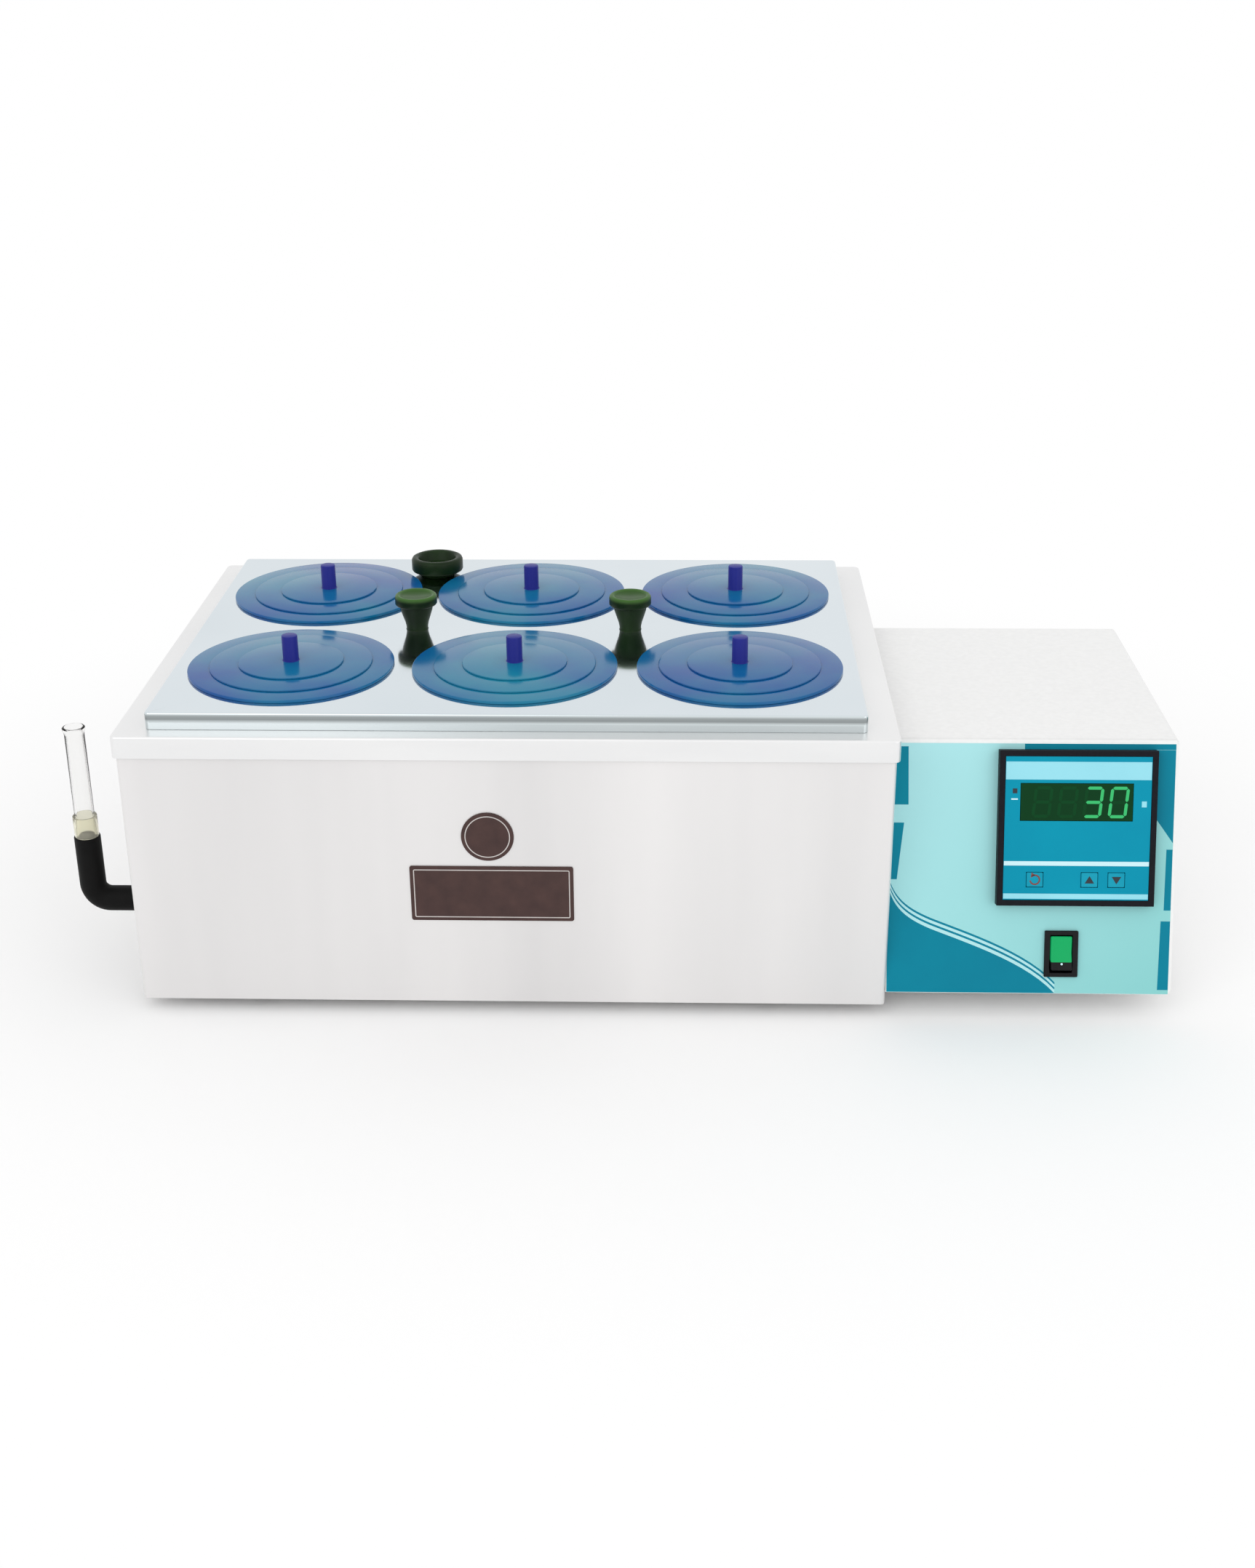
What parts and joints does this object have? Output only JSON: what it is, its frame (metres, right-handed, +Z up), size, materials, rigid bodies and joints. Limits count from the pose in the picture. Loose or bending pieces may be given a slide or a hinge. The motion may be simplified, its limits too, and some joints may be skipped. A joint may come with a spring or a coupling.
{
  "type": "laboratory water bath",
  "caption": "Boxy steel bench water bath with nested ring lids, a side control box with reclined panel, a swivelling level gauge and rubber feet.",
  "frame": {"origin": "on the bench, half-way across the whole outline in X and in the middle of its depth in Y", "axes": "+X towards the control box, -Y towards the front, +Z up"},
  "size_m": [0.6894, 0.337, 0.222],
  "materials": {
    "bath_steel": "brushed bright",
    "tank_steel": "satin",
    "cover_steel": "polished",
    "plated_steel": "zinc plated",
    "white_paint": "satin",
    "panel_aluminium": "satin",
    "panel_film": "satin",
    "case_plastic": "matte",
    "face_film": "satin",
    "display_tint": "dark tinted",
    "key_dark": "satin",
    "key_red": "satin",
    "switch_black": "gloss",
    "rocker_green": "translucent",
    "lid_blue": "gloss",
    "knob_green": "gloss",
    "plate_brown": "satin",
    "elbow_rubber": "matte",
    "foot_rubber": "matte",
    "clear_glass": "clear",
    "collar_plastic": "translucent",
    "brass": "satin",
    "mineral_wool": "fibrous",
    "socket_plastic": "matte",
    "heater_steel": "matt sheath",
    "strip_plastic": "matte"
  },
  "bodies": {
    "bath": {"outer_casing": "bath_steel", "base_plate": "plated_steel", "rubber_feet": "foot_rubber", "inner_tank": "tank_steel", "insulation_batts": "mineral_wool", "tank_shelf": "tank_steel", "shelf_legs": "tank_steel", "heating_element": "heater_steel", "temperature_probe": "tank_steel", "tank_glands": "brass", "gland_nuts": "brass", "outlet_nipple": "brass", "nipple_locknut": "brass", "name_plate": "plate_brown", "control_housing": "white_paint", "front_panel": "panel_aluminium", "panel_overlay": "panel_film", "controller_case": "case_plastic", "controller_faceplate": "face_film", "display_window": "display_tint", "switch_frame": "switch_black", "back_panel": "white_paint", "mains_inlet": "socket_plastic", "heat_sink": "panel_aluminium", "solid_state_relay": "case_plastic", "terminal_block": "strip_plastic"},
    "cover": {"top_cover": "cover_steel", "cover_knobs": "knob_green", "thermometer_cup": "knob_green", "cup_locknut": "knob_green"},
    "level_gauge": {"level_elbow": "elbow_rubber", "sight_glass": "clear_glass", "gauge_collar": "collar_plastic"},
    "outer_ring_1": {"outer_ring_1": "lid_blue"},
    "middle_ring_1": {"middle_ring_1": "lid_blue"},
    "centre_lid_1": {"centre_lid_1": "lid_blue"},
    "outer_ring_2": {"outer_ring_2": "lid_blue"},
    "middle_ring_2": {"middle_ring_2": "lid_blue"},
    "centre_lid_2": {"centre_lid_2": "lid_blue"},
    "outer_ring_3": {"outer_ring_3": "lid_blue"},
    "middle_ring_3": {"middle_ring_3": "lid_blue"},
    "centre_lid_3": {"centre_lid_3": "lid_blue"},
    "outer_ring_4": {"outer_ring_4": "lid_blue"},
    "middle_ring_4": {"middle_ring_4": "lid_blue"},
    "centre_lid_4": {"centre_lid_4": "lid_blue"},
    "outer_ring_5": {"outer_ring_5": "lid_blue"},
    "middle_ring_5": {"middle_ring_5": "lid_blue"},
    "centre_lid_5": {"centre_lid_5": "lid_blue"},
    "outer_ring_6": {"outer_ring_6": "lid_blue"},
    "middle_ring_6": {"middle_ring_6": "lid_blue"},
    "centre_lid_6": {"centre_lid_6": "lid_blue"},
    "button_set": {"button_set": "key_red"},
    "button_up": {"button_up": "key_dark"},
    "button_down": {"button_down": "key_dark"},
    "switch_rocker": {"switch_rocker": "rocker_green"}
  },
  "joints": [
    {"name": "cover_lift", "type": "slide", "parent": "bath", "child": "cover", "axis": [0, 0, 1], "range_m": [0, 0.12]},
    {"name": "outer_ring_1_lift", "type": "slide", "parent": "cover", "child": "outer_ring_1", "axis": [0, 0, 1], "range_m": [0, 0.06]},
    {"name": "middle_ring_1_lift", "type": "slide", "parent": "outer_ring_1", "child": "middle_ring_1", "axis": [0, 0, 1], "range_m": [0, 0.06]},
    {"name": "centre_lid_1_lift", "type": "slide", "parent": "middle_ring_1", "child": "centre_lid_1", "axis": [0, 0, 1], "range_m": [0, 0.06]},
    {"name": "outer_ring_2_lift", "type": "slide", "parent": "cover", "child": "outer_ring_2", "axis": [0, 0, 1], "range_m": [0, 0.06]},
    {"name": "middle_ring_2_lift", "type": "slide", "parent": "outer_ring_2", "child": "middle_ring_2", "axis": [0, 0, 1], "range_m": [0, 0.06]},
    {"name": "centre_lid_2_lift", "type": "slide", "parent": "middle_ring_2", "child": "centre_lid_2", "axis": [0, 0, 1], "range_m": [0, 0.06]},
    {"name": "outer_ring_3_lift", "type": "slide", "parent": "cover", "child": "outer_ring_3", "axis": [0, 0, 1], "range_m": [0, 0.06]},
    {"name": "middle_ring_3_lift", "type": "slide", "parent": "outer_ring_3", "child": "middle_ring_3", "axis": [0, 0, 1], "range_m": [0, 0.06]},
    {"name": "centre_lid_3_lift", "type": "slide", "parent": "middle_ring_3", "child": "centre_lid_3", "axis": [0, 0, 1], "range_m": [0, 0.06]},
    {"name": "outer_ring_4_lift", "type": "slide", "parent": "cover", "child": "outer_ring_4", "axis": [0, 0, 1], "range_m": [0, 0.06]},
    {"name": "middle_ring_4_lift", "type": "slide", "parent": "outer_ring_4", "child": "middle_ring_4", "axis": [0, 0, 1], "range_m": [0, 0.06]},
    {"name": "centre_lid_4_lift", "type": "slide", "parent": "middle_ring_4", "child": "centre_lid_4", "axis": [0, 0, 1], "range_m": [0, 0.06]},
    {"name": "outer_ring_5_lift", "type": "slide", "parent": "cover", "child": "outer_ring_5", "axis": [0, 0, 1], "range_m": [0, 0.06]},
    {"name": "middle_ring_5_lift", "type": "slide", "parent": "outer_ring_5", "child": "middle_ring_5", "axis": [0, 0, 1], "range_m": [0, 0.06]},
    {"name": "centre_lid_5_lift", "type": "slide", "parent": "middle_ring_5", "child": "centre_lid_5", "axis": [0, 0, 1], "range_m": [0, 0.06]},
    {"name": "outer_ring_6_lift", "type": "slide", "parent": "cover", "child": "outer_ring_6", "axis": [0, 0, 1], "range_m": [0, 0.06]},
    {"name": "middle_ring_6_lift", "type": "slide", "parent": "outer_ring_6", "child": "middle_ring_6", "axis": [0, 0, 1], "range_m": [0, 0.06]},
    {"name": "centre_lid_6_lift", "type": "slide", "parent": "middle_ring_6", "child": "centre_lid_6", "axis": [0, 0, 1], "range_m": [0, 0.06]},
    {"name": "gauge_swivel", "type": "hinge", "parent": "bath", "child": "level_gauge", "pos_m": [-0.3201, -0.1185, 0.0544], "axis": [1, 0, 0], "range_deg": [-90, 90]},
    {"name": "button_set_press", "type": "slide", "parent": "bath", "child": "button_set", "axis": [0, 0.9573, -0.289], "range_m": [0, 0.0008], "stiffness_N_per_m": 200},
    {"name": "button_up_press", "type": "slide", "parent": "bath", "child": "button_up", "axis": [0, 0.9573, -0.289], "range_m": [0, 0.0008], "stiffness_N_per_m": 200},
    {"name": "button_down_press", "type": "slide", "parent": "bath", "child": "button_down", "axis": [0, 0.9573, -0.289], "range_m": [0, 0.0008], "stiffness_N_per_m": 200},
    {"name": "rocker_tip", "type": "hinge", "parent": "bath", "child": "switch_rocker", "pos_m": [0.27572, -0.15806, 0.04114], "axis": [1, 0, 0], "range_deg": [0, 16]}
  ]
}
